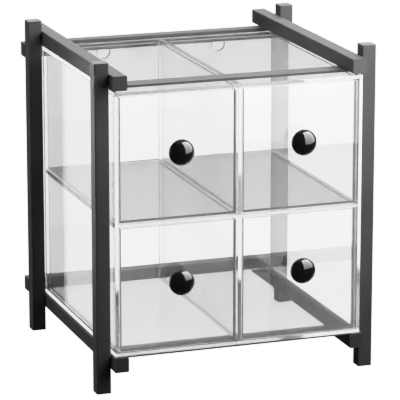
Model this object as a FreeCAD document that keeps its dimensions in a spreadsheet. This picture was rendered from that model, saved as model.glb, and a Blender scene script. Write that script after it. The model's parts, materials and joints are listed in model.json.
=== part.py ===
import FreeCAD, Part
import os
import re
import Sketcher

# Bread display case: a clear sheet case, two bays wide and two high, in a frame of square tubes.
# +Z is up, the front faces -Y, and the origin is on the floor under the middle of the whole object.

SIZES = {
    # Frame
    "bar_size": 19.05,          # side of the square tubes
    "bar_wall": 1.5,            # wall of the tubes
    "bar_round": 1.5,           # radius along the tubes' long edges
    "frame_width": 381,         # across the outer faces of the posts
    "post_depth": 317.5,        # front face of the front posts to rear face of the rear posts
    "leg_height": 31.75,        # floor to the underside of the bottom rails
    "post_rise": 14.2,          # posts above the top rails
    "rail_nose": 16,            # side rails in front of the front posts
    "rail_tail": 21.5,          # side rails behind the rear cross rails
    "strap_width": 25.4,        # flat front straps, front to back
    "strap_thick": 3.2,         # flat front straps, up and down
    "top_strap_setback": 14,    # front edge of the top strap behind the front posts' faces
    "low_strap_reach": 6,       # front edge of the bottom strap ahead of the front posts' faces
    "cap_flange": 2,            # visible part of a tube's end cap
    "cap_plug": 10,             # part of an end cap inside its tube
    "cap_fit": 0.1,             # clearance round the plug of an end cap
    # Case
    "case_height": 346,         # bottom rails to the underside of the top strap
    "case_side_gap": 3.2,       # between the case and the posts
    "case_overhang": 10,        # case ahead of the front posts' faces
    "case_rear_gap": 7.5,       # between the case and the rear cross rails
    "case_sheet": 4.8,          # thickness of the case's panels
    "vent_diameter": 19,        # air hole behind each bay
    "vent_land": 2.5,           # sheet left above each air hole
    # Drawers
    "front_recess": 1.5,        # drawer fronts behind the case's front edges
    "front_sheet": 4.8,         # thickness of the drawer fronts
    "wall_sheet": 3.2,          # thickness of the drawers' floors and walls
    "drawer_side_gap": 1.6,     # between a drawer and each side of its bay
    "drawer_top_gap": 2,        # between a drawer and the top of its bay
    "drawer_run_gap": 0.3,      # running clearance under a drawer
    "drawer_rear_gap": 6,       # between a shut drawer and the back panel
    # Knobs and their screws
    "knob_diameter": 34,
    "knob_rise": 7.5,           # knob above the middle of its bay
    "neck_diameter": 15,
    "neck_length": 7,
    "knob_flare": 4,            # length of the cone from the neck to the rim
    "knob_rim": 4,              # length of the straight rim
    "knob_dome": 9,             # height of the domed face
    "knob_round": 2.4,          # radius on the two edges of the rim
    "screw_diameter": 4,
    "screw_reach": 12,          # screw inside the knob
    "screw_fit": 0.2,           # clearance round the screw and past its tip
    "screw_head": 8,            # diameter of the screw's head
    "screw_head_height": 2.6,
    "screw_slot": 1,            # width and depth of the slot in the screw's head
}

# Places and spans that follow from the sizes
RIM_START = "(neck_length + knob_flare)"
RIM_END = f"({RIM_START} + knob_rim)"
KNOB_LENGTH = f"({RIM_END} + knob_dome)"
FRONT = (f"((case_overhang - front_recess + {KNOB_LENGTH}"
         " - post_depth - bar_size - rail_tail) / 2)")
HALF = "(frame_width / 2)"
CASE_BASE = "(leg_height + bar_size)"
CASE_TOP = f"({CASE_BASE} + case_height)"
TOP_RAIL = f"({CASE_TOP} + strap_thick)"
POST_HEIGHT = f"({TOP_RAIL} + bar_size + post_rise)"
RAIL_FRONT = f"({FRONT} - rail_nose)"
RAIL_LENGTH = "(rail_nose + post_depth + bar_size + rail_tail)"
CASE_WIDTH = "(frame_width - 2 * bar_size - 2 * case_side_gap)"
CASE_FRONT = f"({FRONT} - case_overhang)"
CASE_DEPTH = "(case_overhang + post_depth - case_rear_gap)"
INNER_WIDTH = f"({CASE_WIDTH} - 2 * case_sheet)"
INNER_HEIGHT = "(case_height - 2 * case_sheet)"
BAY_WIDTH = f"(({INNER_WIDTH} - case_sheet) / 2)"
BAY_HEIGHT = f"(({INNER_HEIGHT} - case_sheet) / 2)"
BAY_DEPTH = f"({CASE_DEPTH} - case_sheet)"
DRAWER_WIDTH = f"({BAY_WIDTH} - 2 * drawer_side_gap)"
DRAWER_HEIGHT = f"({BAY_HEIGHT} - drawer_run_gap - drawer_top_gap)"
DRAWER_FRONT = f"({CASE_FRONT} + front_recess)"
DRAWER_LENGTH = f"({BAY_DEPTH} - front_recess - drawer_rear_gap)"

SIDES = {"left": f"(-{HALF})", "right": f"({HALF} - bar_size)"}
RAILS = {"left": f"(bar_size - {HALF})", "right": f"({HALF} - 2 * bar_size)"}
ENDS = {"front": FRONT, "rear": f"({FRONT} + post_depth - bar_size)"}
LEVELS = {"top": TOP_RAIL, "bottom": "leg_height"}
BAY_X = {"left": f"(case_sheet - {CASE_WIDTH} / 2)", "right": "(case_sheet / 2)"}
BAY_Z = {"upper": f"({CASE_BASE} + 2 * case_sheet + {BAY_HEIGHT})",
         "lower": f"({CASE_BASE} + case_sheet)"}

# Turns that lay a piece, made along +Z, along another direction
X_AXIS = FreeCAD.Vector(1, 0, 0)
Y_AXIS = FreeCAD.Vector(0, 1, 0)
Z_AXIS = FreeCAD.Vector(0, 0, 1)
TO_UP = FreeCAD.Rotation()
TO_DOWN = FreeCAD.Rotation(X_AXIS, 180)
TO_BACK = FreeCAD.Rotation(X_AXIS, -90)
TO_FRONT = FreeCAD.Rotation(X_AXIS, 90)
TO_RIGHT = FreeCAD.Rotation(Y_AXIS, 90)
TO_LEFT = FreeCAD.Rotation(Y_AXIS, -90)

doc = FreeCAD.newDocument("BreadDisplayCase")
parts = []


def make_sheet():
    """Write the driving dimensions into the sheet, one named cell each."""
    sheet = doc.addObject("Spreadsheet::Sheet", "Sizes")
    for row, (name, value) in enumerate(SIZES.items(), start=1):
        sheet.set(f"A{row}", name)
        sheet.set(f"B{row}", str(value))
        sheet.setAlias(f"B{row}", name)
    doc.recompute()


def bind(item, **properties):
    """Tie properties of an object to expressions in the sheet's names."""
    for name, text in properties.items():
        item.setExpression(name, re.sub(r"[a-z]\w*", r"Sizes.\g<0>", text))


def place(item, x, y, z, turn=TO_UP):
    """Turn an object and tie its place to the sheet."""
    item.Placement = FreeCAD.Placement(FreeCAD.Vector(), turn)
    bind(item, **{"Placement.Base.x": x, "Placement.Base.y": y, "Placement.Base.z": z})


def keep(item, label):
    """Name a finished sub-part and list it."""
    item.Label = label
    parts.append(item)


def box(name, length, width, height, x, y, z):
    item = doc.addObject("Part::Box", name)
    bind(item, Length=length, Width=width, Height=height)
    place(item, x, y, z)
    return item


def rod(name, diameter, height, x, y, z, turn):
    item = doc.addObject("Part::Cylinder", name)
    bind(item, Radius=f"{diameter} / 2", Height=height)
    place(item, x, y, z, turn)
    return item


def cut(name, base, tool):
    item = doc.addObject("Part::Cut", name)
    item.Base = base
    item.Tool = tool
    return item


def rounded_bar(body, length):
    """A square bar along +Z whose four long edges are rounded."""
    bar = body.newObject("PartDesign::AdditiveBox", "Bar")
    bind(bar, Length="bar_size", Width="bar_size", Height=length)
    doc.recompute()
    long_edges = [f"Edge{number}" for number, edge in enumerate(bar.Shape.Edges, start=1)
                  if edge.tangentAt(edge.FirstParameter).isParallel(Z_AXIS, 1e-6)]
    rounding = body.newObject("PartDesign::Fillet", "Rounding")
    rounding.Base = (bar, long_edges)
    bind(rounding, Radius="bar_round")


def tube(label, length, x, y, z, turn=TO_UP):
    """A square tube between its two end caps, whose outer faces are the given length apart."""
    body = doc.addObject("PartDesign::Body", "Tube")
    rounded_bar(body, f"{length} - 2 * cap_flange")
    bore = body.newObject("PartDesign::SubtractiveBox", "Bore")
    bind(bore, Length="bar_size - 2 * bar_wall", Width="bar_size - 2 * bar_wall", Height=length)
    place(bore, "bar_wall", "bar_wall", "-cap_flange")
    place(body, x, y, z, turn)
    keep(body, label)


def cap(x, y, z, turn):
    """An end cap with its outer face at the given place and its plug along the turned +Z."""
    body = doc.addObject("PartDesign::Body", "Cap")
    rounded_bar(body, "cap_flange")
    plug = body.newObject("PartDesign::AdditiveBox", "Plug")
    side = "bar_size - 2 * bar_wall - 2 * cap_fit"
    bind(plug, Length=side, Width=side, Height="cap_plug")
    place(plug, "bar_wall + cap_fit", "bar_wall + cap_fit", "cap_flange")
    place(body, x, y, z, turn)
    return body


def group(label, items):
    """Identical pieces kept together as one sub-part."""
    item = doc.addObject("Part::Compound", "Group")
    item.Links = items
    keep(item, label)


def make_posts():
    tops = []
    feet = []
    for end, y in ENDS.items():
        for side, x in SIDES.items():
            tube(f"post_{end}_{side}", POST_HEIGHT, x, y, "cap_flange")
            tops.append(cap(x, f"{y} + bar_size", POST_HEIGHT, TO_DOWN))
            feet.append(cap(x, y, "0", TO_UP))
    group("post_top_caps", tops)
    group("post_foot_caps", feet)


def make_side_rails():
    caps = []
    for level, z in LEVELS.items():
        for side, x in RAILS.items():
            tube(f"{level}_rail_{side}", RAIL_LENGTH,
                 x, f"{RAIL_FRONT} + cap_flange", f"{z} + bar_size", TO_BACK)
            caps.append(cap(x, RAIL_FRONT, f"{z} + bar_size", TO_BACK))
            caps.append(cap(x, f"{RAIL_FRONT} + {RAIL_LENGTH}", z, TO_FRONT))
    group("side_rail_caps", caps)


def make_cross_rails():
    """The top one hangs under the top rails and the bottom one lies on the bottom rails."""
    caps = []
    y = f"({FRONT} + post_depth)"
    for level, z in {"top": f"({TOP_RAIL} - bar_size)", "bottom": CASE_BASE}.items():
        tube(f"rear_cross_rail_{level}", "frame_width",
             f"cap_flange - {HALF}", y, f"{z} + bar_size", TO_RIGHT)
        caps.append(cap(f"-{HALF}", y, f"{z} + bar_size", TO_RIGHT))
        caps.append(cap(HALF, y, z, TO_LEFT))
    group("cross_rail_caps", caps)


def make_straps():
    """The top strap lies between the case and the top rails, the bottom one between the rails."""
    keep(box("Strap", "frame_width - 2 * bar_size", "strap_width", "strap_thick",
             f"bar_size - {HALF}", f"{FRONT} + top_strap_setback", CASE_TOP), "front_strap_top")
    keep(box("Strap", "frame_width - 4 * bar_size", "strap_width", "strap_thick",
             f"2 * bar_size - {HALF}", f"{FRONT} - low_strap_reach",
             f"{CASE_BASE} - strap_thick"), "front_strap_bottom")


def make_case():
    left = f"(-{CASE_WIDTH} / 2)"
    inner_left = f"(-{INNER_WIDTH} / 2)"
    floor = f"({CASE_BASE} + case_sheet)"
    for level, z in {"top": f"{CASE_TOP} - case_sheet", "bottom": CASE_BASE}.items():
        keep(box("Panel", CASE_WIDTH, CASE_DEPTH, "case_sheet", left, CASE_FRONT, z),
             f"case_{level}_panel")
    for side, x in {"left": left, "right": f"{INNER_WIDTH} / 2"}.items():
        keep(box("Panel", "case_sheet", CASE_DEPTH, INNER_HEIGHT, x, CASE_FRONT, floor),
             f"case_{side}_panel")
    keep(box("Panel", INNER_WIDTH, BAY_DEPTH, "case_sheet",
             inner_left, CASE_FRONT, f"{floor} + {BAY_HEIGHT}"), "case_shelf")
    for level, z in BAY_Z.items():
        keep(box("Panel", "case_sheet", BAY_DEPTH, BAY_HEIGHT, "-case_sheet / 2", CASE_FRONT, z),
             f"case_divider_{level}")
    back = box("Panel", INNER_WIDTH, "case_sheet", INNER_HEIGHT,
               inner_left, f"{CASE_FRONT} + {BAY_DEPTH}", floor)
    vents = doc.addObject("Part::Compound", "Vents")
    vents.Links = [rod("Vent", "vent_diameter", "2 * case_sheet", f"{x} + {BAY_WIDTH} / 2",
                       f"{CASE_FRONT} + {BAY_DEPTH} - case_sheet / 2",
                       f"{z} + {BAY_HEIGHT} - vent_land - vent_diameter / 2", TO_BACK)
                   for z in BAY_Z.values() for x in BAY_X.values()]
    keep(cut("Back", back, vents), "case_back_panel")


def pin_corner(sketch, index, kind, text, axis):
    """Hold the start of an edge of a section on an axis, or at a distance tied to the sheet."""
    if text is None:
        sketch.addConstraint(Sketcher.Constraint("PointOnObject", index, 1, axis))
        return
    number = sketch.addConstraint(Sketcher.Constraint(kind, -1, 1, index, 1, 1.0))
    bind(sketch, **{f"Constraints[{number}]": text})


def knob_section(sketch):
    """Half the knob's section: bore, neck, cone, rim and domed face, from the Y axis outwards."""
    bore = "screw_diameter / 2 + screw_fit"
    bore_end = "screw_reach + screw_fit"
    corners = [(bore, None), ("neck_diameter / 2", None), ("neck_diameter / 2", "neck_length"),
               ("knob_diameter / 2", RIM_START), ("knob_diameter / 2", RIM_END),
               (None, KNOB_LENGTH), (None, bore_end), (bore, bore_end)]
    dome = 4
    # A rough first section, in shares of the knob's diameter, which the sheet then holds
    shares = [(0.05, 0), (0.2, 0), (0.2, 0.2), (0.5, 0.35), (0.5, 0.45), (0, 0.7), (0, 0.3), (0.05, 0.3)]
    bulge = (0.28, 0.63)
    scale = doc.Sizes.knob_diameter
    points = [FreeCAD.Vector(scale * across, scale * along, 0) for across, along in shares]
    bulge_point = FreeCAD.Vector(scale * bulge[0], scale * bulge[1], 0)
    count = len(points)
    for index, start in enumerate(points):
        end = points[(index + 1) % count]
        edge = Part.Arc(start, bulge_point, end) if index == dome else Part.LineSegment(start, end)
        sketch.addGeometry(edge)
    for index in range(count):
        sketch.addConstraint(Sketcher.Constraint("Coincident", index, 2, (index + 1) % count, 1))
    sketch.addConstraint(Sketcher.Constraint("PointOnObject", dome, 3, -2))
    for index, (across, along) in enumerate(corners):
        pin_corner(sketch, index, "DistanceX", across, -2)
        pin_corner(sketch, index, "DistanceY", along, -1)


def make_knob(label, x, z):
    """A turned knob whose rim is rounded on both sides."""
    body = doc.addObject("PartDesign::Body", "Knob")
    sketch = body.newObject("Sketcher::SketchObject", "Section")
    plane = [item for item in body.Origin.OriginFeatures if item.Role == "XY_Plane"][0]
    sketch.AttachmentSupport = [(plane, "")]
    sketch.MapMode = "FlatFace"
    knob_section(sketch)
    turned = body.newObject("PartDesign::Revolution", "Turned")
    turned.Profile = sketch
    turned.ReferenceAxis = (sketch, ["V_Axis"])
    turned.Angle = 360
    doc.recompute()
    rim_radius = doc.Sizes.knob_diameter / 2
    rim_edges = [f"Edge{number}" for number, edge in enumerate(turned.Shape.Edges, start=1)
                 if not edge.Degenerated and isinstance(edge.Curve, Part.Circle)
                 and abs(edge.Curve.Radius - rim_radius) < 1e-6]
    rounding = body.newObject("PartDesign::Fillet", "Rounding")
    rounding.Base = (turned, rim_edges)
    bind(rounding, Radius="knob_round")
    place(body, x, DRAWER_FRONT, z, FreeCAD.Rotation(Z_AXIS, 180))
    keep(body, label)


def make_screw(label, x, z):
    """A slotted screw from inside the drawer, through its front, into the knob."""
    inside = f"({DRAWER_FRONT} + front_sheet)"
    shank = rod("Shank", "screw_diameter", "front_sheet + screw_reach", x, inside, z, TO_FRONT)
    head = rod("Head", "screw_head", "screw_head_height",
               x, f"{inside} + screw_head_height", z, TO_FRONT)
    blank = doc.addObject("Part::Fuse", "Blank")
    blank.Base = shank
    blank.Tool = head
    slot = box("Slot", "screw_head", "screw_slot", "screw_slot", f"{x} - screw_head / 2",
               f"{inside} + screw_head_height - screw_slot", f"{z} - screw_slot / 2")
    keep(cut("Screw", blank, slot), label)


def make_drawer(name, bay_x, bay_z):
    x = f"({bay_x} + drawer_side_gap)"
    y = f"({DRAWER_FRONT} + front_sheet)"
    z = f"({bay_z} + drawer_run_gap)"
    run = f"({DRAWER_LENGTH} - front_sheet)"
    wall_height = f"({DRAWER_HEIGHT} - wall_sheet)"
    wall_z = f"({z} + wall_sheet)"
    knob_x = f"({bay_x} + {BAY_WIDTH} / 2)"
    knob_z = f"({bay_z} + {BAY_HEIGHT} / 2 + knob_rise)"
    face = box("Face", DRAWER_WIDTH, "front_sheet", DRAWER_HEIGHT, x, DRAWER_FRONT, z)
    hole = rod("Hole", "(screw_diameter + 2 * screw_fit)", "2 * front_sheet",
               knob_x, f"{y} + front_sheet / 2", knob_z, TO_FRONT)
    keep(cut("Front", face, hole), f"{name}_front")
    keep(box("Floor", DRAWER_WIDTH, run, "wall_sheet", x, y, z), f"{name}_floor")
    for side, wall_x in {"left": x, "right": f"{x} + {DRAWER_WIDTH} - wall_sheet"}.items():
        keep(box("Wall", "wall_sheet", run, wall_height, wall_x, y, wall_z), f"{name}_{side}_wall")
    keep(box("Wall", f"{DRAWER_WIDTH} - 2 * wall_sheet", "wall_sheet", wall_height,
             f"{x} + wall_sheet", f"{y} + {run} - wall_sheet", wall_z), f"{name}_back_wall")
    make_knob(f"{name}_knob", knob_x, knob_z)
    make_screw(f"{name}_knob_screw", knob_x, knob_z)


def check_and_write():
    """Stop on any failed object or bad shape, then write one file per sub-part."""
    doc.recompute()
    failed = [item.Name for item in doc.Objects if {"Invalid", "Error"} & set(item.State)]
    if failed:
        raise RuntimeError(f"failed objects: {failed}")
    for item in parts:
        if item.Shape.isNull() or not item.Shape.isValid():
            raise RuntimeError(f"bad shape: {item.Label}")
    os.makedirs("parts", exist_ok=True)
    for item in parts:
        item.Shape.exportStep(f"parts/{item.Label}.step")
        print(f"{item.Label}: {len(item.Shape.Solids)} solid(s), {item.Shape.Volume:.1f} mm3")


make_sheet()
make_posts()
make_side_rails()
make_cross_rails()
make_straps()
make_case()
for level, bay_z in BAY_Z.items():
    for side, bay_x in BAY_X.items():
        make_drawer(f"drawer_{level}_{side}", bay_x, bay_z)
check_and_write()
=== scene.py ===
import json
import math

import bpy
from bpy.props import FloatProperty, FloatVectorProperty, PointerProperty
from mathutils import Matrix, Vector


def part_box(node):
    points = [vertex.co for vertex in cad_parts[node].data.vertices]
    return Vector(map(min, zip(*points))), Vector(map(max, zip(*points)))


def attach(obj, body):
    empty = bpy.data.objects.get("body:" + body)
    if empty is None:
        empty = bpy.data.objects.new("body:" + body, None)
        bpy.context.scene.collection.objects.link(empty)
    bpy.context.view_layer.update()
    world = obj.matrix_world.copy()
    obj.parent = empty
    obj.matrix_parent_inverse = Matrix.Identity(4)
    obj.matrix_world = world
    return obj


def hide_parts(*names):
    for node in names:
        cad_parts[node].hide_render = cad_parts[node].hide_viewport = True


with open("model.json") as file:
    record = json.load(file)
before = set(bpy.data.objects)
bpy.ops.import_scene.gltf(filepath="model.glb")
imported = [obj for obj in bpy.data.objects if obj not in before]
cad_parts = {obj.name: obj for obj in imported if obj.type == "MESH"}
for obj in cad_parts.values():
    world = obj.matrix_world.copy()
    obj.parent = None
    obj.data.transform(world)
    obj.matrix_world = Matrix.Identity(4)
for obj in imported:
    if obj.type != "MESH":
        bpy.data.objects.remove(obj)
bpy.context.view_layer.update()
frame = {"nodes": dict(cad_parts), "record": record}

bl_info = {
    "name": "Bread Display Case",
    "version": (1, 0, 0),
    "blender": (4, 5, 0),
    "location": "3D View > Sidebar > Bread Case",
    "description": "Dresses the bread display case: coated frame, clear sheets, knobs and a studio",
    "category": "Object",
}

MM = 0.001

DRAWERS = ["drawer_upper_left", "drawer_upper_right", "drawer_lower_left", "drawer_lower_right"]
TUBES_AND_STRAPS = [
    "post_front_left", "post_front_right", "post_rear_left", "post_rear_right",
    "top_rail_left", "top_rail_right", "bottom_rail_left", "bottom_rail_right",
    "rear_cross_rail_top", "rear_cross_rail_bottom", "front_strap_top", "front_strap_bottom",
]
CAPS = ["post_top_caps", "post_foot_caps", "side_rail_caps", "cross_rail_caps"]

FRONT = Vector((0, -1, 0))
REAR = Vector((0, 1, 0))
LEFT = Vector((-1, 0, 0))
RIGHT = Vector((1, 0, 0))
UP = Vector((0, 0, 1))
DOWN = Vector((0, 0, -1))

# Sheets of the case: the one that is modelled, the finish of its edges, and its copies
CASE_SHEETS = [
    ("case_top_panel", {"polished": [FRONT, REAR], "milled": [LEFT, RIGHT]}, ["case_bottom_panel"]),
    ("case_left_panel", {"polished": [FRONT, REAR], "bonded": [DOWN]}, ["case_right_panel"]),
    ("case_shelf", {"polished": [FRONT]}, []),
    ("case_divider_upper", {"polished": [FRONT], "bonded": [DOWN]}, []),
    ("case_divider_lower", {"polished": [FRONT]}, []),
    ("case_back_panel", {}, []),
]
# Sheets of one drawer and the finish of their edges
DRAWER_SHEETS = [
    ("front", {"polished": [LEFT, RIGHT, UP, DOWN]}),
    ("floor", {"polished": [REAR], "milled": [LEFT, RIGHT], "cemented": [FRONT]}),
    ("left_wall", {"polished": [UP, REAR], "cemented": [FRONT]}),
    ("right_wall", {"polished": [UP, REAR], "cemented": [FRONT]}),
    ("back_wall", {"polished": [UP]}),
]

ARRIS_SEGMENTS = 2
HOLE_FACETS = 96
BIT_LENGTH = 3  # thicknesses of the sheet

# Shares of a face's normal that tell the faces of a sheet apart
ACROSS_SHEET = 0.1  # a face that runs through the sheet has less than this along its thickness
SQUARE_EDGE = 0.9999  # a flat edge has more than this along one axis, and a hole's wall less
EDGE_SIDE = 0.35  # an edge and its arrises have more than this towards the side they are on

# Refractive indices
POLYMER_IOR = 1.5  # polyester and polyethylene
ACRYLIC_IOR = 1.49
PHENOLIC_IOR = 1.6

# Widths of the patterns that no setting holds
COAT_DRIFT = 60 * MM
SHEET_WAVE = 70 * MM
WIPING_MARK = 25 * MM
BUBBLE_PATCH = 3 * MM
CEMENT_PATCH = 5 * MM
BUFFING_MARK = 4 * MM
PLATING_BLOTCH = 1.5 * MM

# How much lighter than their setting the palest cement and the palest phenolic are
CEMENT_PALEST = 2
PHENOLIC_PALEST = 1.6

FLOOR_SIZE = 12
FLOOR_DROP = 0.5 * MM

# The way to the middle of the light overhead, and how much of that way a direction shares
# where the light begins and where it is full
OVERHEAD_WAY = (0.25, 0.35, 0.9)
OVERHEAD_BEGINS = 0.53
OVERHEAD_FULL = 0.9

# Lamps, in metres and degrees: width and height, place, the way each one shines, the spread of its
# light, and the share of its mean light that its foot gives
INWARDS = Vector((-0.405, 0.914, 0))
OPEN_SPREAD = 180
GRID_SPREAD = 17
EVEN_FOOT = 1.0
DIM_FOOT = 0.3
LAMPS = [
    ("front", (0.45, 1.2), Vector((0.354, -0.504, 0.817)), INWARDS, OPEN_SPREAD, DIM_FOOT),
    ("side", (0.65, 1.2), Vector((0.856, -0.281, 0.817)), INWARDS, OPEN_SPREAD, DIM_FOOT),
    ("left", (0.8, 0.6), Vector((-1.1, 0.1, 0.4)), Vector((1, -0.1, -0.1)),
     OPEN_SPREAD, EVEN_FOOT),
    ("edge", (0.12, 0.64), Vector((-0.6, 0.5, 0.47)), Vector((0.53, -0.85, 0)),
     GRID_SPREAD, DIM_FOOT),
    ("rear", (2.4, 0.8), Vector((0.2, 1.2, 1.3)), Vector((-0.1, -0.8, -0.6)),
     OPEN_SPREAD, EVEN_FOOT),
]

# The camera's response: an amount of light, and the share of white that it is shown as
RESPONSE = [(0.2, 0.2), (0.4, 0.39), (0.7, 0.62), (1.0, 0.77), (1.4, 0.87), (1.7, 0.92)]
ALL_CHANNELS = 3  # the curve that acts on red, green and blue together

SENSOR_WIDTH = 36
CLIP_END = 50

# Light passes up to a dozen sheets on its way through the case, each with two faces
BOUNCES = 48


def linear(colour):
    """Linear red, green and blue of an sRGB hex colour."""
    shares = [int(colour[place:place + 2], 16) / 255 for place in (1, 3, 5)]
    return [share / 12.92 if share <= 0.04045 else ((share + 0.055) / 1.055) ** 2.4
            for share in shares]


def opaque(colour, gain=1):
    """A colour, lighter by a gain, with the alpha that a node's socket takes."""
    return (*[share * gain for share in colour], 1)


def add(tree, kind, inputs, **settings):
    """Add a node with its settings, and set or link its inputs by name."""
    node = tree.nodes.new(kind)
    for name, value in settings.items():
        setattr(node, name, value)
    for name, value in inputs.items():
        if isinstance(value, bpy.types.NodeSocket):
            tree.links.new(value, node.inputs[name])
        else:
            node.inputs[name].default_value = value
    return node


def bare_tree(owner):
    """The emptied node tree of a new material, world or lamp."""
    owner.use_nodes = True
    owner.node_tree.nodes.clear()
    return owner.node_tree


def powder_coat(settings):
    """Black polyester powder coat, sprayed dry and baked: satin, with a fine orange peel.

    The peel is about 0.8 mm across on the real bars and is drawn at the size in the settings,
    so that it shows.
    """
    material = bpy.data.materials.new("powder_coat_black_satin")
    tree = bare_tree(material)
    place = add(tree, "ShaderNodeTexCoord", {}).outputs["Object"]
    peel = add(tree, "ShaderNodeTexNoise",
               {"Vector": place, "Scale": 1 / settings.peel_size, "Detail": 2.0, "Roughness": 0.6})
    drift = add(tree, "ShaderNodeTexNoise",
                {"Vector": place, "Scale": 1 / COAT_DRIFT, "Detail": 3.0})
    tone = add(tree, "ShaderNodeMixRGB",
               {"Fac": drift.outputs["Fac"], "Color1": opaque(settings.coat_dark),
                "Color2": opaque(settings.coat_light)})
    gloss = add(tree, "ShaderNodeMapRange",
                {"Value": peel.outputs["Fac"], "To Min": 0.6, "To Max": 0.76})
    bump = add(tree, "ShaderNodeBump",
               {"Height": peel.outputs["Fac"], "Strength": 0.35, "Distance": 0.06 * MM})
    coat = add(tree, "ShaderNodeBsdfPrincipled",
               {"Base Color": tone.outputs["Color"], "Roughness": gloss.outputs["Result"],
                "IOR": POLYMER_IOR, "Normal": bump.outputs["Normal"]})
    add(tree, "ShaderNodeOutputMaterial", {"Surface": coat.outputs["BSDF"]})
    return material


def cap_plastic(settings):
    """Black polyethylene, moulded in a spark-eroded tool: a dull, evenly pitted skin.

    The pits are a few tenths of a millimetre across on real caps and are drawn at the size in the
    settings, so that they show.
    """
    material = bpy.data.materials.new("polyethylene_black_moulded")
    tree = bare_tree(material)
    place = add(tree, "ShaderNodeTexCoord", {}).outputs["Object"]
    pits = add(tree, "ShaderNodeTexVoronoi", {"Vector": place, "Scale": 1 / settings.pit_size})
    tone = add(tree, "ShaderNodeMixRGB",
               {"Fac": pits.outputs["Distance"], "Color1": opaque(settings.coat_dark),
                "Color2": opaque(settings.coat_light)})
    bump = add(tree, "ShaderNodeBump",
               {"Height": pits.outputs["Distance"], "Strength": 0.3, "Distance": 0.05 * MM})
    plastic = add(tree, "ShaderNodeBsdfPrincipled",
                  {"Base Color": tone.outputs["Color"], "Roughness": 0.55, "IOR": POLYMER_IOR,
                   "Normal": bump.outputs["Normal"]})
    add(tree, "ShaderNodeOutputMaterial", {"Surface": plastic.outputs["BSDF"]})
    return material


def clear_acrylic(settings):
    """Cast acrylic sheet, clear as it leaves the glass mould: bright reflections, and a trace of
    wave and of wiping."""
    material = bpy.data.materials.new("acrylic_clear_cast")
    tree = bare_tree(material)
    place = add(tree, "ShaderNodeTexCoord", {}).outputs["Object"]
    wave = add(tree, "ShaderNodeTexNoise",
               {"Vector": place, "Scale": 1 / SHEET_WAVE, "Detail": 1.0})
    wiping = add(tree, "ShaderNodeTexNoise",
                 {"Vector": place, "Scale": 1 / WIPING_MARK, "Detail": 4.0})
    gloss = add(tree, "ShaderNodeMapRange",
                {"Value": wiping.outputs["Fac"], "From Min": 0.45, "From Max": 0.8,
                 "To Min": 0.0, "To Max": 0.02})
    bump = add(tree, "ShaderNodeBump",
               {"Height": wave.outputs["Fac"], "Strength": 0.2, "Distance": 0.3 * MM})
    sheet = add(tree, "ShaderNodeBsdfPrincipled",
                {"Base Color": opaque(settings.sheet_colour), "Roughness": gloss.outputs["Result"],
                 "IOR": ACRYLIC_IOR, "Transmission Weight": 1.0, "Normal": bump.outputs["Normal"]})
    add(tree, "ShaderNodeOutputMaterial", {"Surface": sheet.outputs["BSDF"]})
    return material


def polished_acrylic(settings):
    """The same acrylic where an edge was sawn and polished: bright and clear, with traces of the
    saw, which are drawn coarser than they are so that they show."""
    material = bpy.data.materials.new("acrylic_polished_edge")
    tree = bare_tree(material)
    place = add(tree, "ShaderNodeTexCoord", {}).outputs["Object"]
    saw = add(tree, "ShaderNodeTexNoise",
              {"Vector": place, "Scale": 1 / settings.saw_pitch, "Detail": 2.0, "Roughness": 0.6})
    gloss = add(tree, "ShaderNodeMapRange",
                {"Value": saw.outputs["Fac"], "To Min": 0.05, "To Max": 0.22})
    bump = add(tree, "ShaderNodeBump",
               {"Height": saw.outputs["Fac"], "Strength": 0.3, "Distance": 0.05 * MM})
    edge = add(tree, "ShaderNodeBsdfPrincipled",
               {"Base Color": opaque(settings.edge_colour), "Roughness": gloss.outputs["Result"],
                "IOR": ACRYLIC_IOR, "Transmission Weight": 0.85, "Normal": bump.outputs["Normal"]})
    add(tree, "ShaderNodeOutputMaterial", {"Surface": edge.outputs["BSDF"]})
    return material


def milled_acrylic(settings, name, glow):
    """The same acrylic where an edge was only milled: a matt, whitish edge with the marks of the
    cutter, which are drawn coarser than they are so that they show.

    The floor of this studio doesn't light matt faces, so the light that an open edge would scatter
    of it
    is painted on as a glow: the edge emits light of its own, though it is no lamp.
    """
    material = bpy.data.materials.new(name)
    tree = bare_tree(material)
    place = add(tree, "ShaderNodeTexCoord", {}).outputs["Object"]
    cutter = add(tree, "ShaderNodeTexNoise",
                 {"Vector": place, "Scale": 1 / settings.saw_pitch, "Detail": 3.0,
                  "Roughness": 0.7})
    gloss = add(tree, "ShaderNodeMapRange",
                {"Value": cutter.outputs["Fac"], "To Min": 0.3, "To Max": 0.6})
    bump = add(tree, "ShaderNodeBump",
               {"Height": cutter.outputs["Fac"], "Strength": 0.5, "Distance": 0.08 * MM})
    edge = add(tree, "ShaderNodeBsdfPrincipled",
               {"Base Color": opaque(settings.edge_colour), "Roughness": gloss.outputs["Result"],
                "IOR": ACRYLIC_IOR, "Transmission Weight": 0.2, "Normal": bump.outputs["Normal"],
                # Painted glow: the milled edge emits light of its own, in place of the floor light
                # it would scatter
                "Emission Color": (1, 1, 1, 1), "Emission Strength": glow})
    add(tree, "ShaderNodeOutputMaterial", {"Surface": edge.outputs["BSDF"]})
    return material


def bonded_acrylic(settings):
    """The same acrylic where an edge is bonded to the sheet below it: light passes on, but for
    patches of fine bubbles."""
    material = bpy.data.materials.new("acrylic_bonded_edge")
    tree = bare_tree(material)
    place = add(tree, "ShaderNodeTexCoord", {}).outputs["Object"]
    bubbles = add(tree, "ShaderNodeTexNoise",
                  {"Vector": place, "Scale": 1 / BUBBLE_PATCH, "Detail": 3.0})
    tone = add(tree, "ShaderNodeMixRGB",
               {"Fac": bubbles.outputs["Fac"], "Color1": opaque(settings.joint_colour),
                "Color2": opaque(settings.edge_colour)})
    joint = add(tree, "ShaderNodeBsdfPrincipled",
                {"Base Color": tone.outputs["Color"], "Roughness": 0.35, "IOR": ACRYLIC_IOR,
                 "Alpha": 0.06})
    add(tree, "ShaderNodeOutputMaterial", {"Surface": joint.outputs["BSDF"]})
    return material


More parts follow.
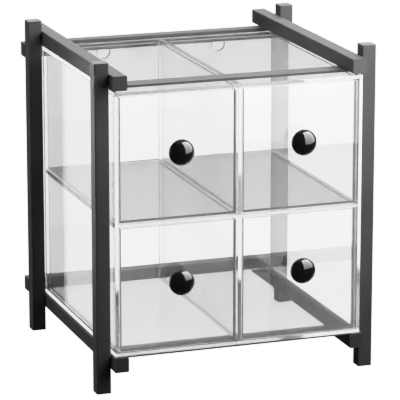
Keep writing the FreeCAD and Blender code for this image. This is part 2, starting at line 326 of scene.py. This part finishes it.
def cemented_acrylic(settings):
    """The same acrylic where a sawn end is cemented to the sheet ahead of it: a grey, hazy end."""
    material = bpy.data.materials.new("acrylic_cemented_end")
    tree = bare_tree(material)
    place = add(tree, "ShaderNodeTexCoord", {}).outputs["Object"]
    cement = add(tree, "ShaderNodeTexNoise",
                 {"Vector": place, "Scale": 1 / CEMENT_PATCH, "Detail": 4.0, "Roughness": 0.6})
    tone = add(tree, "ShaderNodeMixRGB",
               {"Fac": cement.outputs["Fac"], "Color1": opaque(settings.joint_colour),
                "Color2": opaque(settings.joint_colour, CEMENT_PALEST)})
    end = add(tree, "ShaderNodeBsdfPrincipled",
              {"Base Color": tone.outputs["Color"], "Roughness": 0.35, "IOR": ACRYLIC_IOR,
               "Transmission Weight": 0.1})
    add(tree, "ShaderNodeOutputMaterial", {"Surface": end.outputs["BSDF"]})
    return material


def knob_phenolic(settings):
    """Black phenolic, pressed hot in a polished mould and buffed: deep black, sharp reflections."""
    material = bpy.data.materials.new("phenolic_black_polished")
    tree = bare_tree(material)
    place = add(tree, "ShaderNodeTexCoord", {}).outputs["Object"]
    buff = add(tree, "ShaderNodeTexNoise",
               {"Vector": place, "Scale": 1 / BUFFING_MARK, "Detail": 5.0})
    tone = add(tree, "ShaderNodeMixRGB",
               {"Fac": buff.outputs["Fac"], "Color1": opaque(settings.knob_colour),
                "Color2": opaque(settings.knob_colour, PHENOLIC_PALEST)})
    gloss = add(tree, "ShaderNodeMapRange",
                {"Value": buff.outputs["Fac"], "To Min": 0.04, "To Max": 0.12})
    knob = add(tree, "ShaderNodeBsdfPrincipled",
               {"Base Color": tone.outputs["Color"], "Roughness": gloss.outputs["Result"],
                "IOR": PHENOLIC_IOR})
    add(tree, "ShaderNodeOutputMaterial", {"Surface": knob.outputs["BSDF"]})
    return material


def zinc_plate(settings):
    """Bright zinc on turned steel: pale grey, with the blotches of the plating bath."""
    material = bpy.data.materials.new("steel_zinc_plated")
    tree = bare_tree(material)
    place = add(tree, "ShaderNodeTexCoord", {}).outputs["Object"]
    bath = add(tree, "ShaderNodeTexNoise",
               {"Vector": place, "Scale": 1 / PLATING_BLOTCH, "Detail": 4.0})
    tone = add(tree, "ShaderNodeMixRGB",
               {"Fac": bath.outputs["Fac"], "Color1": opaque(settings.zinc_colour),
                "Color2": opaque(settings.blotch_colour)})
    gloss = add(tree, "ShaderNodeMapRange",
                {"Value": bath.outputs["Fac"], "To Min": 0.22, "To Max": 0.42})
    zinc = add(tree, "ShaderNodeBsdfPrincipled",
               {"Base Color": tone.outputs["Color"], "Roughness": gloss.outputs["Result"],
                "Metallic": 1.0})
    add(tree, "ShaderNodeOutputMaterial", {"Surface": zinc.outputs["BSDF"]})
    return material


def light_table(settings):
    """White opal floor lit evenly from beneath."""
    material = bpy.data.materials.new("opal_floor_white")
    tree = bare_tree(material)
    floor = add(tree, "ShaderNodeEmission",
                {"Color": opaque(settings.floor_colour), "Strength": settings.floor_glow})
    add(tree, "ShaderNodeOutputMaterial", {"Surface": floor.outputs["Emission"]})
    return material


def studio_air(settings):
    """The room round the case: a soft pool of light overhead, a little to the rear, and dim air."""
    world = bpy.data.worlds.new("white_studio")
    tree = bare_tree(world)
    way = add(tree, "ShaderNodeTexCoord", {}).outputs["Generated"]
    height = add(tree, "ShaderNodeVectorMath", {0: way, 1: OVERHEAD_WAY}, operation="DOT_PRODUCT")
    glow = add(tree, "ShaderNodeMapRange",
               {"Value": height.outputs["Value"],
                "From Min": OVERHEAD_BEGINS, "From Max": OVERHEAD_FULL,
                "To Min": settings.dim_air, "To Max": settings.overhead_air})
    light = add(tree, "ShaderNodeBackground",
                {"Color": (1, 1, 1, 1), "Strength": glow.outputs["Result"]})
    add(tree, "ShaderNodeOutputWorld", {"Surface": light.outputs["Background"]})
    return world


def dress(nodes, material):
    """Give the solids of some nodes a material."""
    for name in nodes:
        for slot in frame["nodes"][name].material_slots:
            slot.material = material


def start_sheet(node, settings):
    """Add a cube in a node's place, less half a glue line all round, and ease its edges."""
    low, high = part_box(node)
    gap = Vector((1, 1, 1)) * settings.glue_line / 2
    low, high = low + gap, high - gap
    bpy.ops.object.select_all(action="DESELECT")
    bpy.ops.mesh.primitive_cube_add(size=1, location=(low + high) / 2, scale=high - low)
    piece = bpy.context.object
    bpy.ops.object.transform_apply(location=True, rotation=True, scale=True)
    bpy.ops.object.mode_set(mode="EDIT")
    bpy.ops.mesh.select_all(action="SELECT")
    bpy.ops.mesh.bevel(offset=settings.arris, segments=ARRIS_SEGMENTS, affect="EDGES")
    bpy.ops.object.mode_set(mode="OBJECT")
    piece.name = f"{node}_sheet"
    return piece


def drill(piece, low, high, diameter):
    """Cut a round hole through a sheet, along its depth, at the middle of a box."""
    ys = [corner[1] for corner in piece.bound_box]
    near, far = min(ys), max(ys)
    place = ((low[0] + high[0]) / 2, (near + far) / 2, (low[2] + high[2]) / 2)
    bpy.ops.object.select_all(action="DESELECT")
    bpy.ops.mesh.primitive_cylinder_add(vertices=HOLE_FACETS, radius=diameter / 2,
                                        depth=BIT_LENGTH * (far - near), location=place,
                                        rotation=(math.radians(90), 0, 0))
    bit = bpy.context.object
    hole = piece.modifiers.new("Hole", "BOOLEAN")
    hole.operation = "DIFFERENCE"
    hole.object = bit
    bpy.context.view_layer.objects.active = piece
    bpy.ops.object.modifier_apply(modifier=hole.name)
    bpy.data.objects.remove(bit)


def finish_edges(piece, edges, finishes):
    """Give a sheet clear faces, each of its edges its own finish, and its holes a polished one."""
    for material in finishes.values():
        piece.data.materials.append(material)
    order = list(finishes)
    thin = min(range(3), key=lambda axis: piece.dimensions[axis])
    for face in piece.data.polygons:
        across = abs(face.normal[thin]) < ACROSS_SHEET
        if across and max(abs(share) for share in face.normal) < SQUARE_EDGE:
            face.material_index = order.index("polished")
        for finish, ways in edges.items():
            if any(face.normal.dot(way) > EDGE_SIDE for way in ways):
                face.material_index = order.index(finish)


def copy_sheet(source, source_node, node):
    """Copy a finished sheet, with its own mesh, to the place of another node of the same size."""
    bpy.ops.object.select_all(action="DESELECT")
    source.select_set(True)
    bpy.context.view_layer.objects.active = source
    bpy.ops.object.duplicate(linked=False)
    piece = bpy.context.object
    bpy.ops.transform.translate(value=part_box(node)[0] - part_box(source_node)[0])
    bpy.ops.object.transform_apply(location=True, rotation=False, scale=False)
    piece.name = f"{node}_sheet"
    return piece


def hang(piece, node, body):
    """Let a sheet stand for its node and move with its body.

    The outer sheets cast no shadow, so that the lamps shine through them.
    """
    piece.visible_shadow = not node.endswith(("_panel", "_front"))
    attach(piece, body)
    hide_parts(node)


def lay_floor(settings):
    """Lay the floor just under the case's feet, hidden from the rays that would let it light the
    black bars from below."""
    bpy.ops.object.select_all(action="DESELECT")
    bpy.ops.mesh.primitive_plane_add(size=FLOOR_SIZE, location=(0, 0, -FLOOR_DROP))
    floor = bpy.context.object
    floor.name = "floor"
    bpy.ops.object.transform_apply(location=True, rotation=True, scale=True)
    floor.data.materials.append(light_table(settings))
    floor.visible_diffuse = False
    floor.visible_glossy = False


def set_lamp(name, power, size, place, way, spread, foot):
    """Add a softbox that stays out of sight; its light grows evenly from its foot to its head."""
    bpy.ops.object.light_add(type="AREA", location=place)
    lamp = bpy.context.object
    lamp.name = name
    lamp.data.shape = "RECTANGLE"
    lamp.data.size, lamp.data.size_y = size
    lamp.data.energy = power
    lamp.data.spread = math.radians(spread)
    lamp.rotation_euler = way.to_track_quat("-Z", "Y").to_euler()
    tree = bare_tree(lamp.data)
    spot = add(tree, "ShaderNodeTexCoord", {}).outputs["UV"]
    height = add(tree, "ShaderNodeSeparateXYZ", {"Vector": spot}).outputs["Y"]
    glow = add(tree, "ShaderNodeMapRange", {"Value": height, "To Min": foot, "To Max": 2 - foot})
    light = add(tree, "ShaderNodeEmission", {"Strength": glow.outputs["Result"]})
    add(tree, "ShaderNodeOutputLight", {"Surface": light.outputs["Emission"]})
    lamp.visible_camera = False
    lamp.visible_transmission = False


def place_camera(settings):
    """Add the camera at its angles and distance from the point it looks at."""
    turn, rise = settings.azimuth, settings.elevation
    level = math.cos(rise)
    back = Vector((math.sin(turn) * level, -math.cos(turn) * level, math.sin(rise)))
    bpy.ops.object.camera_add(location=settings.target + back * settings.distance,
                              rotation=(math.radians(90) - rise, 0, turn))
    camera = bpy.context.object
    camera.data.sensor_width = SENSOR_WIDTH
    camera.data.lens = settings.lens
    camera.data.clip_end = CLIP_END
    return camera


def respond(view, white):
    """Let bright light roll off softly before it turns white, as a camera does."""
    view.view_transform = "Standard"
    view.use_curve_mapping = True
    view.curve_mapping.white_level = (white, white, white)
    for light, shown in RESPONSE:
        view.curve_mapping.curves[ALL_CHANNELS].points.new(light / white, shown)
    view.curve_mapping.update()


class FrameSettings(bpy.types.PropertyGroup):
    """Finish of the frame"""
    coat_dark: FloatVectorProperty(
        name="Coat, dark", description="Darkest tone of the powder coat and the caps",
        subtype="COLOR", min=0, max=1, default=linear("#222223"))
    coat_light: FloatVectorProperty(
        name="Coat, light", description="Lightest tone of the powder coat and the caps",
        subtype="COLOR", min=0, max=1, default=linear("#323233"))
    peel_size: FloatProperty(
        name="Orange peel", description="Width of one dimple of the powder coat",
        unit="LENGTH", min=0.0001, default=1.6 * MM)
    pit_size: FloatProperty(
        name="Cap pits", description="Width of one pit of the moulded caps",
        unit="LENGTH", min=0.0001, default=0.9 * MM)


class SheetSettings(bpy.types.PropertyGroup):
    """Finish and fine sizes of the clear sheets"""
    sheet_colour: FloatVectorProperty(
        name="Sheet", description="Tint of light that has passed one sheet",
        subtype="COLOR", min=0, max=1, default=linear("#FAFAFA"))
    edge_colour: FloatVectorProperty(
        name="Edge", description="Tone of the polished, milled and bonded edges",
        subtype="COLOR", min=0, max=1, default=linear("#F6F1F4"))
    # Painted glow on the case's milled edges: light that they emit themselves, in place of the
    # floor light they would scatter
    painted_edge_glow: FloatProperty(
        name="Edge glow", description="Light of the floor that the case's milled edges give back",
        min=0, default=0.8)
    joint_colour: FloatVectorProperty(
        name="Joint", description="Darkest tone of the bonded edges and the cemented ends",
        subtype="COLOR", min=0, max=1, default=linear("#3B363E"))
    arris: FloatProperty(
        name="Arris", description="Width of the eased corner along each edge",
        unit="LENGTH", min=0, default=0.5 * MM)
    glue_line: FloatProperty(
        name="Glue line", description="Width of the joint between bonded sheets",
        unit="LENGTH", min=0, default=0.08 * MM)
    saw_pitch: FloatProperty(
        name="Saw marks", description="Spacing of the marks left on the edges",
        unit="LENGTH", min=0.0001, default=1.2 * MM)
    vent_diameter: FloatProperty(
        name="Air hole", description="Diameter of the holes in the back panel",
        unit="LENGTH", min=0, default=19 * MM)
    screw_hole: FloatProperty(
        name="Screw hole", description="Diameter of the hole for the knob's screw",
        unit="LENGTH", min=0, default=4.4 * MM)


class KnobSettings(bpy.types.PropertyGroup):
    """Finish of the knobs and their screws"""
    knob_colour: FloatVectorProperty(
        name="Knob", description="Darkest tone of the phenolic knobs",
        subtype="COLOR", min=0, max=1, default=linear("#08080A"))
    zinc_colour: FloatVectorProperty(
        name="Screw", description="Lightest tone of the zinc on the screws",
        subtype="COLOR", min=0, max=1, default=linear("#C9C7C0"))
    blotch_colour: FloatVectorProperty(
        name="Blotches", description="Darkest tone of the zinc on the screws",
        subtype="COLOR", min=0, max=1, default=linear("#8F9090"))


class StageSettings(bpy.types.PropertyGroup):
    """Floor, light and camera"""
    floor_colour: FloatVectorProperty(
        name="Floor", description="Colour of the floor",
        subtype="COLOR", min=0, max=1, default=linear("#FFFFFF"))
    floor_glow: FloatProperty(
        name="Floor light", description="Light of the floor itself",
        min=0, default=2.0)
    overhead_air: FloatProperty(
        name="Overhead light", description="Light of the room above the case",
        min=0, default=0.55)
    dim_air: FloatProperty(
        name="Room light", description="Light of the room everywhere else",
        min=0, default=0.06)
    front_power: FloatProperty(
        name="Front lamp", description="Power of the softbox close by, ahead on the right",
        subtype="POWER", min=0, default=18)
    side_power: FloatProperty(
        name="Side lamp", description="Power of the softbox beside it, further right",
        subtype="POWER", min=0, default=31)
    left_power: FloatProperty(
        name="Left lamp", description="Power of the weak lamp on the left",
        subtype="POWER", min=0, default=5.5)
    edge_power: FloatProperty(
        name="Edge lamp", description="Power of the gridded strip lamp behind on the left",
        subtype="POWER", min=0, default=0.3)
    rear_power: FloatProperty(
        name="Rear lamp", description="Power of the wide lamp high behind the case",
        subtype="POWER", min=0, default=46)
    white_level: FloatProperty(
        name="White", description="Light that the picture shows as pure white",
        min=1, default=2.0)
    azimuth: FloatProperty(
        name="Azimuth", description="Turn of the camera round the case",
        subtype="ANGLE", default=math.radians(-19.34))
    elevation: FloatProperty(
        name="Elevation", description="Angle of the camera above the floor",
        subtype="ANGLE", default=math.radians(14.36))
    distance: FloatProperty(
        name="Distance", description="Camera to the point it looks at",
        unit="LENGTH", default=3791.8 * MM)
    target: FloatVectorProperty(
        name="Target", description="Point the camera looks at",
        subtype="TRANSLATION", default=(5.06 * MM, -4.03 * MM, 203.56 * MM))
    lens: FloatProperty(
        name="Lens", description="Focal length in mm on a 36 mm sensor", default=254.6)


class BREADCASE_OT_frame_finish(bpy.types.Operator):
    """Coat the tubes and straps of the frame and finish the caps that close them"""
    bl_idname = "breadcase.frame_finish"
    bl_label = "Finish the Frame"

    def execute(self, context):
        settings = context.scene.breadcase_frame
        dress(TUBES_AND_STRAPS, powder_coat(settings))
        dress(CAPS, cap_plastic(settings))
        return {"FINISHED"}


class BREADCASE_OT_case_sheets(bpy.types.Operator):
    """Model the clear sheets of the fixed case"""
    bl_idname = "breadcase.case_sheets"
    bl_label = "Model the Case"

    def execute(self, context):
        settings = context.scene.breadcase_sheets
        finishes = {
            "clear": clear_acrylic(settings),
            "polished": polished_acrylic(settings),
            # The case's open milled edges get the painted glow; the drawers' milled edges get none
            "milled": milled_acrylic(settings, "acrylic_milled_edge_open", settings.painted_edge_glow),
            "bonded": bonded_acrylic(settings),
        }
        for node, edges, copies in CASE_SHEETS:
            piece = start_sheet(node, settings)
            if node == "case_back_panel":
                for opening in frame["record"]["physics"]["openings"]:
                    if opening["name"].startswith("vent_"):
                        drill(piece, *opening["box_m"], settings.vent_diameter)
            finish_edges(piece, edges, finishes)
            hang(piece, node, "case_in_frame")
            for other in copies:
                hang(copy_sheet(piece, node, other), other, "case_in_frame")
        return {"FINISHED"}


class BREADCASE_OT_drawer_sheets(bpy.types.Operator):
    """Model the clear sheets of one drawer, after the case's, and copy them to the others"""
    bl_idname = "breadcase.drawer_sheets"
    bl_label = "Model the Drawers"

    def execute(self, context):
        settings = context.scene.breadcase_sheets
        finishes = {
            "clear": bpy.data.materials["acrylic_clear_cast"],
            "polished": bpy.data.materials["acrylic_polished_edge"],
            "milled": milled_acrylic(settings, "acrylic_milled_edge_inside", 0),
            "cemented": cemented_acrylic(settings),
        }
        first, others = DRAWERS[0], DRAWERS[1:]
        for part, edges in DRAWER_SHEETS:
            node = f"{first}_{part}"
            piece = start_sheet(node, settings)
            if part == "front":
                drill(piece, *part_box(f"{first}_knob_screw"), settings.screw_hole)
            finish_edges(piece, edges, finishes)
            hang(piece, node, first)
            for drawer in others:
                other = f"{drawer}_{part}"
                hang(copy_sheet(piece, node, other), other, drawer)
        return {"FINISHED"}


class BREADCASE_OT_knobs(bpy.types.Operator):
    """Finish the knobs and the screws that hold them"""
    bl_idname = "breadcase.knobs"
    bl_label = "Finish the Knobs"

    def execute(self, context):
        settings = context.scene.breadcase_knobs
        dress([f"{drawer}_knob" for drawer in DRAWERS], knob_phenolic(settings))
        dress([f"{drawer}_knob_screw" for drawer in DRAWERS], zinc_plate(settings))
        return {"FINISHED"}


class BREADCASE_OT_stage(bpy.types.Operator):
    """Set the floor, the lights and the camera round the case"""
    bl_idname = "breadcase.stage"
    bl_label = "Set the Stage"

    def execute(self, context):
        scene = context.scene
        settings = scene.breadcase_stage
        lay_floor(settings)
        scene.world = studio_air(settings)
        for name, *form in LAMPS:
            set_lamp(f"{name}_lamp", getattr(settings, f"{name}_power"), *form)
        scene.camera = place_camera(settings)
        respond(scene.view_settings, settings.white_level)
        scene.cycles.max_bounces = BOUNCES
        scene.cycles.transmission_bounces = BOUNCES
        scene.cycles.glossy_bounces = BOUNCES
        return {"FINISHED"}


class BREADCASE_PT_panel(bpy.types.Panel):
    """The steps in order, each with its settings"""
    bl_idname = "BREADCASE_PT_panel"
    bl_label = "Bread Display Case"
    bl_space_type = "VIEW_3D"
    bl_region_type = "UI"
    bl_category = "Bread Case"

    def draw(self, context):
        for operator, settings in STEPS:
            self.layout.operator(operator.bl_idname)
            group = getattr(context.scene, settings)
            for name in group.__annotations__:
                self.layout.prop(group, name)


STEPS = [
    (BREADCASE_OT_frame_finish, "breadcase_frame"),
    (BREADCASE_OT_case_sheets, "breadcase_sheets"),
    (BREADCASE_OT_drawer_sheets, "breadcase_sheets"),
    (BREADCASE_OT_knobs, "breadcase_knobs"),
    (BREADCASE_OT_stage, "breadcase_stage"),
]
GROUPS = {
    "breadcase_frame": FrameSettings,
    "breadcase_sheets": SheetSettings,
    "breadcase_knobs": KnobSettings,
    "breadcase_stage": StageSettings,
}


def register():
    for name, group in GROUPS.items():
        bpy.utils.register_class(group)
        setattr(bpy.types.Scene, name, PointerProperty(type=group))
    for operator, _ in STEPS:
        bpy.utils.register_class(operator)
    bpy.utils.register_class(BREADCASE_PT_panel)


def unregister():
    bpy.utils.unregister_class(BREADCASE_PT_panel)
    for operator, _ in STEPS:
        bpy.utils.unregister_class(operator)
    for name, group in GROUPS.items():
        delattr(bpy.types.Scene, name)
        bpy.utils.unregister_class(group)


def main():
    register()
    bpy.ops.breadcase.frame_finish()
    bpy.ops.breadcase.case_sheets()
    bpy.ops.breadcase.drawer_sheets()
    bpy.ops.breadcase.knobs()
    bpy.ops.breadcase.stage()


if __name__ == "__main__":
    main()
